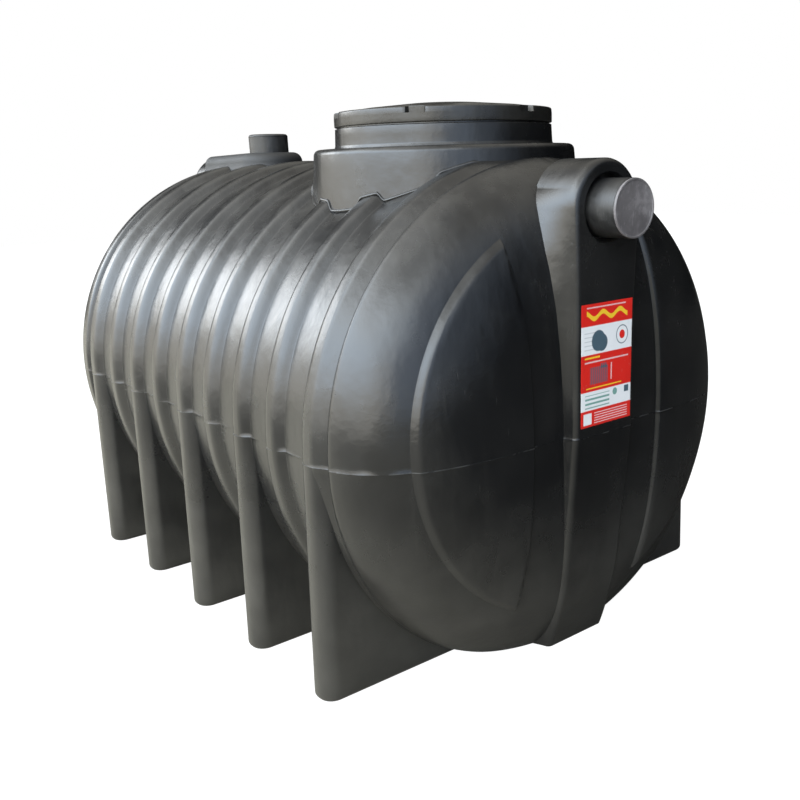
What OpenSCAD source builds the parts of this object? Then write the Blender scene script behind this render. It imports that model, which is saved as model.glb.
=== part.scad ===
// Horizontal septic tank, rotationally moulded polyethylene.
// A ribbed round barrel with domed ends stands on ten moulded legs. It has a
// manhole with a lid, an outlet pipe in the front end, an inlet pipe a little
// higher in the rear end, and a vent stub on a boss at the top.
// X runs along the tank with the outlet end at +X, Z is up, the feet are at z = 0.

/* [Show] */
// Sub-part to build, or all

/* [Shell] */
// Radius over the rib crowns
crown_r = 570; // [520:1:620]
// How much of the barrel's radius its flat underside cuts away
floor_cut = 62; // [45:1:100]
// Wall thickness of the moulding
wall = 8; // [6:0.5:9]

/* [Ribs] */
// Number of ribs round the barrel
rib_count = 9; // [9, 13]
// Distance from rib to rib
rib_pitch = 148; // [140:1:170]
// Width of the flat crown of a rib
rib_crown_w = 56; // [48:1:60]
// Width of a rib at its foot
rib_foot_w = 96; // [90:1:104]
// Depth of the grooves between the ribs
rib_depth = 25; // [18:1:30]
// Rounding of the rib corners
rib_round = 11; // [9:0.5:12]

/* [Ends] */
// Reach of an end dome past its last rib
end_reach = 226; // [200:1:260]
// How far the dome starts below the rib crowns
end_drop = 4; // [2:1:8]
// Height of the raised leaf panels on the ends
leaf_rise = 8; // [5:1:10]
// Radius of the outer arc of a leaf panel
leaf_outer_r = 438; // [415:1:445]
// Distance from the middle of the end to a leaf panel
leaf_gap = 178; // [170:1:190]

/* [Columns] */
// Half width of the flat face of an end column
column_half_w = 90; // [82:1:96]
// How far a column stands out past its dome
column_proud = 30; // [22:1:38]
// How far the foot of a column stands out past its dome
column_foot_proud = 37; // [30:1:44]
// Rounding of the upright edges of a column
column_round = 13; // [8:1:16]

/* [Legs] */
// Leg thickness along the tank
leg_t = 78; // [76:1:84]
// How far the foot of a leg stands out past the crowns
leg_proud = 20; // [8:0.5:26]
// How far a leg stands out past the crowns at the parting line
leg_top_proud = 2; // [1:0.5:6]
// Rounding of a leg's outer end, seen from above
leg_end_r = 36; // [24:1:37]
// Rounding of the outer bottom corner of a leg
leg_corner_r = 28; // [16:1:32]

/* [Manhole] */
// Distance of the manhole behind the last front rib
manhole_back = 254; // [250:1:275]
// Outer radius of the collar
collar_r = 300; // [285:1:301]
// Height of the collar top over the rib crowns
collar_rise = 18; // [14:1:50]
// Radius of the neck under the lid
neck_r = 250; // [230:1:256]
// Height of the neck over the collar
neck_h = 47; // [35:1:70]
// Height of the lid rim
lid_rim_h = 31; // [26:1:45]
// Crown of the lid over its rim
lid_crown_h = 18; // [12:1:24]
// Number of finger notches round the lid
notch_count = 6; // [3:1:8]

/* [Pipes] */
// Outside diameter of the pipe stubs
pipe_d = 114; // [90:1:125]
// Wall of the pipe stubs
pipe_wall = 5; // [4:0.5:7]
// How far the outlet pipe lies below the rib crowns
outlet_drop = 111; // [108:1:122]
// How far the inlet pipe lies above the outlet pipe
inlet_step = 37; // [30:1:40]
// Length of a pipe stub outside its column
pipe_out = 67; // [50:1:110]
// Thickness of the pipe caps
cap_t = 6; // [4:0.5:10]

/* [Vent] */
// Distance of the vent in front of the last rear rib
vent_fwd = 94; // [88:1:110]
// Height of the vent boss over the rib crowns
boss_h = 27; // [24:1:40]
// Height of the vent stub over its boss
vent_h = 52; // [30:1:70]

/* [Hidden] */

$fn = 96;
big = 6 * crown_r;

shell_black = "#26282a";
leg_black = "#2c2e30";
lid_black = "#303234";
pipe_grey = "#404042";
cap_grey = "#6a6668";

// height of the barrel axis and of the mould parting line over the floor
axis_h = crown_r - floor_cut;

// rib stations along the tank
last_rib_x = (rib_count - 1) / 2 * rib_pitch;
leg_step = (rib_count - 1) / 4 * rib_pitch;
groove_r = crown_r - rib_depth;
flank_run = (rib_foot_w - rib_crown_w) / 2;
flank_angle = atan2(rib_depth, flank_run);

// seam between barrel and end, in the shallow groove past the last rib
seam_r = crown_r - rib_depth * 0.76;
seam_foot_x = last_rib_x + rib_crown_w / 2 + flank_run * 0.76;
seam_x = last_rib_x + rib_foot_w / 2 + 2;

// end dome, a superellipse turned round the barrel axis
dome_r = crown_r - end_drop;
dome_x0 = last_rib_x - 4;
dome_len = end_reach + 4;
dome_nr = 4.06;
front_full = 2.31;
rear_full = 4.4;
dome_start_x = seam_x + 12;
dome_steps = 20;
end_apex_x = last_rib_x + end_reach;

// columns
column_face_x = end_apex_x + column_proud;
column_back_x = end_apex_x - end_reach * 0.38;
column_min_proud = 9;
column_flare = 24;
arch_r = column_half_w + 5;

// pipes and tops
outlet_z = crown_r - outlet_drop;
outlet_h = axis_h + outlet_z;
pipe_r = pipe_d / 2;
bore_r = pipe_r - pipe_wall;
manhole_x = last_rib_x - manhole_back;
collar_top = axis_h + crown_r + collar_rise;
neck_top = collar_top + neck_h;
lid_rim_top = neck_top + lid_rim_h;
vent_x = -last_rib_x + vent_fwd;
boss_top = axis_h + crown_r + boss_h;
boss_rear_x = -column_face_x + column_half_w * 14 / 15;
boss_round = boss_h * 10 / 9;
leg_out = crown_r + leg_proud;
leg_top = crown_r + leg_top_proud;
leg_draft = atan2(leg_out - leg_top, axis_h);

function unit(v) = v / norm(v);
function wrap(a) = a > 180 ? a - 360 : a < -180 ? a + 360 : a;

// points of an arc of radius r that rounds the corner p1 between p0 and p2
function corner(p0, p1, p2, r, n = 3) =
    let (u = unit(p0 - p1), v = unit(p2 - p1))
    let (half = acos(u * v) / 2, c = p1 + unit(u + v) * r / sin(half))
    let (s = p1 + u * r / tan(half) - c, e = p1 + v * r / tan(half) - c)
    let (a0 = atan2(s.y, s.x), da = wrap(atan2(e.y, e.x) - a0))
    [for (i = [0:n]) c + r * [cos(a0 + da * i / n), sin(a0 + da * i / n)]];

// a path with all its inner corners rounded, radius i from the list radii
function rounded(raw, radii) =
    let (n = len(raw) - 1)
    [raw[0], for (i = [1:n - 1]) each corner(raw[i - 1], raw[i], raw[i + 1], radii[i]), raw[n]];

// [x, r] corners of the rib at xc, drawn in by d from the outside
function rib_corners(xc, d) =
    let (s = d * tan(flank_angle / 2))
    [
        [xc - rib_foot_w / 2 + s, groove_r - d],
        [xc - rib_crown_w / 2 + s, crown_r - d],
        [xc + rib_crown_w / 2 - s, crown_r - d],
        [xc + rib_foot_w / 2 - s, groove_r - d]
    ];

// rounding of those corners, so that inside and outside are true offsets
function rib_radii(d) = [rib_round + d, rib_round, rib_round, rib_round + d];

// outline of the barrel from seam to seam; the outermost feet are shallower
function barrel_path(d) =
    let (s = d * tan(flank_angle / 2), r = seam_r - d)
    let (raw = [for (i = [0:rib_count - 1]) each rib_corners(i * rib_pitch - last_rib_x, d)])
    let (radii = [for (i = [0:rib_count - 1]) each rib_radii(d)])
    let (n = len(raw) - 1)
    rounded(
        [[-seam_x, r], [-seam_foot_x + s, r], for (i = [1:n - 1]) raw[i], [seam_foot_x - s, r], [seam_x, r]],
        [0, 6, for (i = [1:n - 1]) radii[i], 6, 0]
    );

// outline of one rib with a stretch of groove on both sides
function rib_path(xc) =
    rounded(
        [[xc - leg_t, groove_r], each rib_corners(xc, 0), [xc + leg_t, groove_r]],
        [0, each rib_radii(0), 0]
    );

// The dome of an end is given by full, the exponent that says how full its shoulder is.
// A point of the dome grown by g, at parameter a from the seam to the apex
function dome_point(a, g, full) = [
    dome_x0 + (dome_len + g) * pow(sin(a), 2 / full),
    (dome_r + g) * pow(cos(a), 2 / dome_nr)
];
function dome_angle(x, g, full) = asin(pow((x - dome_x0) / (dome_len + g), full / 2));

// where the dome is met at radius r from the barrel axis
function dome_x_at(r, full) = dome_x0 + dome_len * pow(1 - pow(min(r / dome_r, 1), dome_nr), 1 / full);

// outline of the dome grown by g, from x1 to its apex
function dome_path(x1, g, full) =
    let (a0 = dome_angle(x1, g, full))
    [for (i = [0:dome_steps]) dome_point(a0 + (90 - a0) * i / dome_steps, g, full)];

// outline of an end from the seam up the shoulder and over the dome
function end_path(d, full) =
    let (dome = dome_path(dome_start_x, -d, full), low = seam_r - d)
    concat(
        [for (t = [0, 0.35, 0.7])
            [seam_x + (dome_start_x - seam_x) * t, low + (dome[0].y - low) * (1 - cos(180 * t)) / 2]],
        dome
    );

// turns an [x, r] outline into a solid round the barrel axis
module revolve_x(path) {
    translate([0, 0, axis_h])
        rotate([0, 90, 0])
            rotate_extrude($fn = 288)
                polygon(concat([[0, path[0].x]], [for (p = path) [p.y, p.x]],
                    path[len(path) - 1].y > 0 ? [[0, path[len(path) - 1].x]] : []));
}

module above(z) { translate([-big / 2, -big / 2, z]) cube([big, big, big]); }
module below(z) { translate([-big / 2, -big / 2, z - big]) cube([big, big, big]); }

// the barrel as a solid, drawn in by d from the outside
module barrel_body(d) { intersection() { revolve_x(barrel_path(d)); above(d); } }

// a leaf panel seen along the tank: a lens between two arcs, smaller by s
module leaf_outline(s) {
    inner_r = 2300;
    intersection() {
        translate([-18, axis_h + 24]) circle(r = leaf_outer_r - s);
        translate([-leaf_gap - inner_r, axis_h + 12]) circle(r = inner_r - s);
    }
}

// the pair of raised leaf panels as a solid, drawn in by d
module leaf_body(d, full) {
    intersection() {
        revolve_x(dome_path(dome_start_x + 60, leaf_rise - d, full));
        for (m = [0, 1])
            mirror([0, m, 0])
                rotate([90, 0, 90])
                    linear_extrude(column_face_x)
                        leaf_outline(d);
        above(d);
    }
}

// a domed end with its leaf panels as a solid, drawn in by d
module end_body(d, full) {
    intersection() {
        revolve_x(end_path(d, full));
        above(d);
    }
    leaf_body(d, full);
}

// outline of a column's face, an arch smaller by s, its pipe raised by up
module arch_outline(s, up) {
    translate([0, outlet_h + up]) circle(r = arch_r - s);
    translate([-column_half_w + s, axis_h - 1]) square([2 * (column_half_w - s), outlet_z + up + 1]);
}

module arch_slab(x, s, up) {
    translate([x, 0, 0]) rotate([90, 0, 90]) linear_extrude(0.2) arch_outline(s, up);
}

// the flared root of a column deep inside its dome, in parts of the crown radius
module root_outline(s, up) {
    half = [[0, 0.19], [0.4, 0.31], [0.53, 0.31], [0.665, 0.27], [0.763, 0.22], [0.872, 0.16], [0.95, 0.11]];
    lift = function(z) axis_h + z * crown_r + (z > 0.5 ? up : 0);
    polygon(concat(
        [for (p = half) [p.y * crown_r - s, lift(p.x)]],
        [for (i = [len(half) - 1:-1:0]) [-half[i].y * crown_r + s, lift(half[i].x)]]
    ));
}

// the upper column as a solid, drawn in by d
module column_upper_body(d, up) {
    face = column_face_x - d;
    r = column_round;
    hull() {
        for (a = [0, 30, 60, 90])
            arch_slab(face - 0.2 - r * (1 - sin(a)), d + r * (1 - cos(a)), up);
        translate([column_back_x, 0, 0])
            rotate([90, 0, 90])
                linear_extrude(0.2)
                    root_outline(d, up);
    }
}

// where the lower column's face lies at the share t of the way down from the axis:
// it leans back towards the foot and always stays clear of the dome
function column_x(t, full) =
    let (edge = dome_x_at(norm([column_half_w, axis_h * t]), full))
    let (foot = dome_x_at(norm([column_half_w, axis_h]), full) + column_foot_proud)
    let (lean = column_face_x - (column_face_x - foot) * (0.56 * t + 0.44 * pow(t, 4)))
    max(lean, edge + column_min_proud);

// one level cut through the lower column, its face at x
module column_slice(z, x, d) {
    w = column_half_w - d;
    r = column_round;
    right = [for (a = [0, 30, 60, 90]) [x - r + r * sin(a), w - r + r * cos(a)]];
    translate([0, 0, z])
        linear_extrude(0.2)
            polygon(concat(
                [[x - column_half_w, w + column_flare]], right,
                [for (i = [3:-1:0]) [right[i].x, -right[i].y]], [[x - column_half_w, -w - column_flare]]
            ));
}

// the lower column as a solid
module column_lower_body(d, full) {
    hull()
        for (t = [0, 0.26, 0.54, 0.75, 1])
            column_slice(max(d, axis_h * (1 - t)), column_x(t, full) - d, d);
}

// the shell of an end's upper half, open to the barrel and into its column
module end_upper(up, full) {
    intersection() {
        difference() {
            end_body(0, full);
            end_body(wall, full);
            column_upper_body(wall, up);
        }
        above(axis_h);
    }
}

// the lower half, with a plain slot up to the parting line behind the column
module end_lower(full) {
    slot_w = 2 * (column_half_w - wall);
    intersection() {
        difference() {
            end_body(0, full);
            end_body(wall, full);
            translate([last_rib_x, -slot_w / 2, wall]) cube([big, slot_w, axis_h]);
        }
        below(axis_h);
    }
}

module column_upper(up, full) {
    intersection() {
        difference() {
            column_upper_body(0, up);
            column_upper_body(wall, up);
            end_body(0, full);
            translate([column_face_x - column_half_w, 0, outlet_h + up])
                rotate([0, 90, 0])
                    cylinder(r = bore_r, h = 2 * column_half_w);
        }
        above(axis_h);
    }
}

module column_lower(full) {
    intersection() {
        difference() {
            column_lower_body(0, full);
            column_lower_body(wall, full);
            end_body(0, full);
        }
        below(axis_h);
    }
}

module front_end_upper() { color(shell_black) end_upper(0, front_full); }
module front_end_lower() { color(shell_black) end_lower(front_full); }
module rear_end_upper() { color(shell_black) mirror([1, 0, 0]) end_upper(inlet_step, rear_full); }
module rear_end_lower() { color(shell_black) mirror([1, 0, 0]) end_lower(rear_full); }

module front_column_upper() { color(shell_black) column_upper(0, front_full); }
module front_column_lower() { color(shell_black) column_lower(front_full); }
module rear_column_upper() {
    color(shell_black)
        difference() {
            mirror([1, 0, 0]) column_upper(inlet_step, rear_full);
            boss_body(0);
        }
}
module rear_column_lower() { color(shell_black) mirror([1, 0, 0]) column_lower(rear_full); }

module barrel_upper() {
    color(shell_black)
        intersection() {
            difference() {
                barrel_body(0);
                barrel_body(wall);
                translate([manhole_x, 0, axis_h]) cylinder(r = collar_r - wall, h = big);
                translate([vent_x, 0, axis_h]) cylinder(r = bore_r, h = big);
            }
            above(axis_h);
        }
}

module barrel_lower() {
    color(shell_black)
        intersection() {
            difference() {
                barrel_body(0);
                barrel_body(wall);
            }
            below(axis_h);
        }
}

// a leg seen from above with its outer end on the x axis, drawn in by d
module leg_plan(d) {
    t = leg_t - 2 * d;
    r = leg_end_r - d;
    reach = 0.75 * leg_out;
    translate([-t / 2, -reach]) square([t, reach - d - r]);
    translate([r - t / 2, -reach]) square([t - 2 * r, reach - d]);
    for (s = [-1, 1]) translate([s * (t / 2 - r), -d - r]) circle(r = r);
}

// a leg on the right side as a solid drawn in by d, at the rib station xc:
// it leans out to its foot
module leg_body(xc, d) {
    flat = leg_out - leg_corner_r;
    intersection() {
        translate([xc, leg_top, axis_h])
            rotate([leg_draft, 0, 0])
                translate([0, 0, -axis_h - leg_t])
                    linear_extrude(axis_h + 2 * leg_t)
                        leg_plan(d);
        translate([xc - leg_t, 0, 0])
            rotate([90, 0, 90])
                linear_extrude(2 * leg_t)
                    union() {
                        translate([0, leg_corner_r]) square([big, axis_h - leg_corner_r - d]);
                        translate([0, d]) square([flat, axis_h - 2 * d]);
                        translate([flat, leg_corner_r]) circle(r = leg_corner_r - d);
                    }
    }
}

// leg number n counted from the rear, hollow, seated on its rib
module leg(n) {
    xc = -last_rib_x + (n - 1) * leg_step;
    difference() {
        leg_body(xc, 0);
        intersection() {
            leg_body(xc, wall);
            below(axis_h * 0.75);
        }
        revolve_x(rib_path(xc));
    }
}

module right_leg(n) { color(leg_black) leg(n); }
module left_leg(n) { color(leg_black) mirror([0, 1, 0]) leg(n); }

module left_leg_1() { left_leg(1); }
module left_leg_2() { left_leg(2); }
module left_leg_3() { left_leg(3); }
module left_leg_4() { left_leg(4); }
module left_leg_5() { left_leg(5); }
module right_leg_1() { right_leg(1); }
module right_leg_2() { right_leg(2); }
module right_leg_3() { right_leg(3); }
module right_leg_4() { right_leg(4); }
module right_leg_5() { right_leg(5); }

// a turned solid with a rounded outer top edge
module rounded_disc(r, z0, z1, edge) {
    rotate_extrude()
        union() {
            translate([0, z0]) square([r, z1 - z0 - edge]);
            translate([0, z0]) square([r - edge, z1 - z0]);
            translate([r - edge, z1 - edge]) intersection() { circle(r = edge); square(edge); }
        }
}

module manhole_collar() {
    color(shell_black)
        translate([manhole_x, 0, 0])
            difference() {
                rounded_disc(collar_r, axis_h + crown_r * 0.75, collar_top, 14);
                rounded_disc(collar_r - wall, axis_h, collar_top - wall, 6);
                translate([0, 0, axis_h]) cylinder(r = neck_r - wall, h = big);
                translate([-manhole_x, 0, 0]) barrel_body(0);
            }
}

module manhole_neck() {
    color(shell_black)
        translate([manhole_x, 0, collar_top])
            difference() {
                cylinder(r1 = neck_r + 5, r2 = neck_r, h = neck_h);
                translate([0, 0, -1]) cylinder(r = neck_r - wall, h = neck_h + 2);
            }
}

module manhole_lid() {
    notch_w = 46;
    color(lid_black)
        translate([manhole_x, 0, neck_top])
            difference() {
                rotate_extrude()
                    polygon([
                        [0, 0], [neck_r - 3, 0], [neck_r, 3], [neck_r, lid_rim_h - 6],
                        [neck_r - 5, lid_rim_h], [neck_r - 16, lid_rim_h + 4],
                        [neck_r * 0.76, lid_rim_h + lid_crown_h * 0.55],
                        [neck_r * 0.44, lid_rim_h + lid_crown_h * 0.88], [0, lid_rim_h + lid_crown_h]
                    ]);
                translate([0, 0, -1]) cylinder(r = neck_r - 2 * wall, h = lid_rim_h - wall + 1);
                for (i = [0:notch_count - 1])
                    rotate([0, 0, 360 / notch_count * (i + 0.5) - 22])
                        translate([neck_r - 16, -notch_w / 2, lid_rim_h - 9])
                            cube([40, notch_w, 40]);
            }
}

// the vent boss as a solid drawn in by d: a round front and a straight run back
module boss_body(d) {
    r = arch_r - d;
    low = axis_h + crown_r * 0.8;
    for (step = [[0, 3], [3, 0]])
        translate([0, 0, low])
            linear_extrude(boss_top - d - step.x - low)
                union() {
                    translate([vent_x, 0]) circle(r = r - step.y);
                    translate([boss_rear_x + d + boss_round, step.y - r])
                        square([vent_x - boss_rear_x - d - boss_round, 2 * (r - step.y)]);
                    for (m = [-1, 1])
                        translate([boss_rear_x + d + boss_round, m * (r - boss_round)])
                            circle(r = boss_round - step.y);
                    translate([boss_rear_x + d + step.y, boss_round - r])
                        square([boss_round, 2 * (r - boss_round)]);
                }
}

module vent_boss() {
    color(shell_black)
        difference() {
            boss_body(0);
            boss_body(wall);
            barrel_body(0);
            mirror([1, 0, 0]) end_body(0, rear_full);
            translate([vent_x, 0, axis_h]) cylinder(r = bore_r, h = big);
        }
}

module stub(r, h) {
    difference() {
        cylinder(r = r, h = h);
        translate([0, 0, -1]) cylinder(r = r - pipe_wall, h = h + 2);
    }
}

module vent_stub() {
    color(pipe_grey) translate([vent_x, 0, boss_top]) stub(pipe_r, vent_h - cap_t);
}

module vent_cap() {
    color(pipe_grey) translate([vent_x, 0, boss_top]) rounded_disc(pipe_r, vent_h - cap_t, vent_h, 3);
}

module outlet_stub() {
    color(pipe_grey)
        translate([column_face_x, 0, outlet_h])
            rotate([0, 90, 0])
                stub(pipe_r, pipe_out - cap_t);
}

module outlet_cap() {
    color(cap_grey)
        translate([column_face_x + pipe_out - cap_t, 0, outlet_h])
            rotate([0, 90, 0])
                cylinder(r = pipe_r, h = cap_t);
}

module inlet_stub() { mirror([1, 0, 0]) translate([0, 0, inlet_step]) outlet_stub(); }
module inlet_cap() { mirror([1, 0, 0]) translate([0, 0, inlet_step]) outlet_cap(); }

barrel_upper();
barrel_lower();
front_end_upper();
front_end_lower();
rear_end_upper();
rear_end_lower();
front_column_upper();
front_column_lower();
rear_column_upper();
rear_column_lower();
left_leg_1();
left_leg_2();
left_leg_3();
left_leg_4();
left_leg_5();
right_leg_1();
right_leg_2();
right_leg_3();
right_leg_4();
right_leg_5();
manhole_collar();
manhole_neck();
manhole_lid();
vent_boss();
vent_stub();
vent_cap();
outlet_stub();
outlet_cap();
inlet_stub();
inlet_cap();
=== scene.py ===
"""Septic tank: a ribbed moulded plastic tank with domed ends, dressed for rendering.

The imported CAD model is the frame. Each sub-assembly is a class that builds its
meshes from sizes read from that frame and gives them their finishes.
"""

from __future__ import annotations

import logging
import math
from dataclasses import dataclass
from enum import Enum
from typing import Callable, Iterable, Sequence

import bmesh
import bpy
from mathutils import Matrix, Vector, noise

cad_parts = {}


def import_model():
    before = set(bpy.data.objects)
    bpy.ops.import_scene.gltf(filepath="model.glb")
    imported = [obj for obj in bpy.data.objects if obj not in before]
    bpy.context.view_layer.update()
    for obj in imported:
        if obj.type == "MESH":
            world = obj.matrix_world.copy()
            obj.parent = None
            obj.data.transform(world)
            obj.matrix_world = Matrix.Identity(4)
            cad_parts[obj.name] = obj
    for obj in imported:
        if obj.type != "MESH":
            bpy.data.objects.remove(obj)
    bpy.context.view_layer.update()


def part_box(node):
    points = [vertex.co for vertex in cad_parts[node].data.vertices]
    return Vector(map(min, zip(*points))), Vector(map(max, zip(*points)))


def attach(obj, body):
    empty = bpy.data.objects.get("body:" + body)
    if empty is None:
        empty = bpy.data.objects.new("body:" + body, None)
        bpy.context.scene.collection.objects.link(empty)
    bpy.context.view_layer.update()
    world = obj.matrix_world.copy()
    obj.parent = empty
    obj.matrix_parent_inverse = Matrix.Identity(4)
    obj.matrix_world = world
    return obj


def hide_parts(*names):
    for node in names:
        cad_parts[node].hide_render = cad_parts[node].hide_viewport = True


LOG = logging.getLogger("septic_tank")
UP = Vector((0, 0, 1)).freeze()
MERGE = 1e-6
ON_PLANE = 1e-5
Point = tuple[float, float]
Pair = tuple[float, float]
Point3 = tuple[float, float, float]
Colour = tuple[float, float, float]
Place = Callable[[float, float], Vector]
Shape = bmesh.types.BMesh
Edge = bmesh.types.BMEdge
Material = bpy.types.Material
Socket = bpy.types.NodeSocket


# ---------------- plain helpers


def held(value: float) -> float:
    """Returns value held between 0 and 1."""
    return min(max(value, 0.0), 1.0)


def smooth(value: float) -> float:
    """Returns value eased from 0 to 1 and held beyond."""
    t = held(value)
    return t * t * (3 - 2 * t)


def mix(a: float, b: float, share: float) -> float:
    """Returns the value that lies at share of the way from a to b."""
    return a + (b - a) * share


def even_steps(count: int) -> list[float]:
    """Returns count + 1 even values from 0 to 1."""
    return [i / count for i in range(count + 1)]


def half_span(node: str, axis: int = 0) -> float:
    """Returns half of a CAD node's extent along an axis."""
    low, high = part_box(node)
    return (high[axis] - low[axis]) / 2


def new_object(name: str, data: bpy.types.ID) -> bpy.types.Object:
    """Adds an object to the scene.

    Args:
        name: Name of the object.
        data: Its mesh, camera or lamp.

    Returns:
        The new object.
    """
    made = bpy.data.objects.new(name, data)
    bpy.context.scene.collection.objects.link(made)
    return made


def eased_steps(count: int, power: float) -> list[float]:
    """Returns count + 1 values from 0 to 1 that lie closer together at both ends.

    Args:
        count: Number of intervals.
        power: How strongly the values crowd at the ends; 0 gives even steps.
    """
    return [mix(t, (1 - math.cos(math.pi * t)) / 2, power) for t in even_steps(count)]


def rounded_path(raw: Sequence[Point], radii: Sequence[float], steps: int = 5) -> list[Point]:
    """Rounds the inner corners of an open path with arcs.

    Args:
        raw: Corner points of the path.
        radii: One radius for each inner corner; 0 leaves it sharp.
        steps: Intervals in each arc.

    Returns:
        The path's points with an arc at each inner corner.
    """
    path = [raw[0]]
    for i, radius in enumerate(radii, start=1):
        if not radius:
            path.append(raw[i])
            continue
        before, at, after = (Vector(p) for p in raw[i - 1 : i + 2])
        u = (before - at).normalized()
        v = (after - at).normalized()
        half = math.acos(max(-1.0, min(1.0, u.dot(v)))) / 2
        centre = at + (u + v).normalized() * (radius / math.sin(half))
        start = at + u * (radius / math.tan(half)) - centre
        turn = start.angle_signed(at + v * (radius / math.tan(half)) - centre)
        for k in range(steps + 1):
            arm = start.copy()
            arm.rotate(Matrix.Rotation(-turn * k / steps, 2))
            path.append(tuple(centre + arm))
    path.append(raw[-1])
    return path


def fill_long_steps(path: Sequence[Point], longest: float) -> list[Point]:
    """Adds points to a path so that no step is longer than longest.

    Args:
        path: Points of an open path.
        longest: The longest step allowed, in metres.

    Returns:
        The path with the added points.
    """
    filled = [path[0]]
    for a, b in zip(path, path[1:]):
        count = max(1, math.ceil(math.dist(a, b) / longest))
        filled += [(mix(a[0], b[0], k / count), mix(a[1], b[1], k / count)) for k in range(1, count + 1)]
    return filled


# ---------------- sizes


@dataclass(frozen=True)
class Layout:
    """Places and driving sizes of the tank in metres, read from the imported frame."""

    axis_z: float
    crown_r: float
    seam_x: float
    last_rib_x: float
    face_x: float
    rib_count: int = 9
    rib_crown_w: float = 0.036
    rib_foot_w: float = 0.072
    rib_depth: float = 0.017
    rib_crown_r: float = 0.028
    rib_groove_r: float = 0.003
    seam_drop: float = 0.0165
    end_reach: float = 0.226
    end_start: float = 0.004
    end_power: float = 4.06
    end_blend: float = 0.012
    longest_step: float = 0.012

    @classmethod
    def read(cls) -> Layout:
        """Measures the CAD nodes' boxes.

        Returns:
            The layout.
        """
        low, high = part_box("barrel_upper")
        first, last = (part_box(name) for name in ("right_leg_1", "right_leg_5"))
        run = (last[0].x + last[1].x - first[0].x - first[1].x) / 2
        return cls(
            axis_z=low.z,
            crown_r=high.y,
            seam_x=high.x,
            last_rib_x=run / 2,
            face_x=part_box("front_column_upper")[1].x,
        )

    @property
    def rib_pitch(self) -> float:
        """Distance from rib to rib."""
        return 2 * self.last_rib_x / (self.rib_count - 1)

    @property
    def groove_r(self) -> float:
        """Radius at the bottom of the grooves."""
        return self.crown_r - self.rib_depth

    @property
    def seam_r(self) -> float:
        """Radius of the seam between the barrel and an end."""
        return self.crown_r - self.seam_drop

    def barrel_path(self) -> list[Point]:
        """Draws the ribbed barrel from seam to seam.

        Returns:
            The (x, radius) points of its outline.
        """
        crown, foot = self.rib_crown_w / 2, self.rib_foot_w / 2
        corners: list[Point] = []
        for i in range(self.rib_count):
            x = i * self.rib_pitch - self.last_rib_x
            corners += [
                (x - foot, self.groove_r), (x - crown, self.crown_r),
                (x + crown, self.crown_r), (x + foot, self.groove_r),
            ]
        raw = [(-self.seam_x, self.seam_r), *corners[1:-1], (self.seam_x, self.seam_r)]
        crowns, grooves = [self.rib_crown_r] * 2, [self.rib_groove_r] * 2
        radii = crowns + (grooves + crowns) * (self.rib_count - 1)
        return fill_long_steps(rounded_path(raw, radii), self.longest_step)

    def barrel_radius(self, x: float) -> float:
        """Gives the barrel's radius, with sharp rib corners.

        Args:
            x: Place along the tank.

        Returns:
            The radius there.
        """
        nearest = round((x + self.last_rib_x) / self.rib_pitch)
        nearest = min(max(nearest, 0), self.rib_count - 1)
        off = abs(x - nearest * self.rib_pitch + self.last_rib_x)
        rise = (self.rib_foot_w / 2 - off) / ((self.rib_foot_w - self.rib_crown_w) / 2)
        return self.groove_r + self.rib_depth * smooth(rise)


@dataclass(frozen=True)
class Dome:
    """The rounded form of one end: a superellipse turned round the barrel axis."""

    layout: Layout
    full: float
    way: int

    @property
    def name(self) -> str:
        """Which end this is."""
        return "front" if self.way > 0 else "rear"

    def x_at(self, radius: float, grow: float = 0.0) -> float:
        """Gives how far out along the tank the dome is met at a radius.

        Args:
            radius: Distance from the barrel axis.
            grow: How much larger than the plain dome the surface is.

        Returns:
            The distance from the tank's middle.
        """
        at = self.layout
        size = at.crown_r - at.end_start + grow
        share = 1 - min(radius / size, 1.0) ** at.end_power
        return at.last_rib_x - at.end_start + (at.end_reach + at.end_start + grow) * share ** (1 / self.full)

    def path(self, steps: int = 44) -> list[Point]:
        """Draws the dome from the seam over the shoulder to the apex.

        Args:
            steps: Intervals over the shoulder and the face.

        Returns:
            The (x, radius) points of its outline.
        """
        at = self.layout
        start = at.seam_x + at.end_blend
        size = at.crown_r - at.end_start
        reach = at.end_reach + at.end_start
        first = math.asin(((start - at.last_rib_x + at.end_start) / reach) ** (self.full / 2))
        over = []
        for share in even_steps(steps):
            a = mix(first, math.pi / 2, share)
            out = at.last_rib_x - at.end_start + reach * math.sin(a) ** (2 / self.full)
            over.append((out, size * max(math.cos(a), 0.0) ** (2 / at.end_power)))
        rise = over[0][1] - at.seam_r
        blend = [(mix(at.seam_x, start, t), at.seam_r + rise * smooth(t)) for t in even_steps(5)[:-1]]
        return blend + over


# ---------------- mesh making


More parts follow.
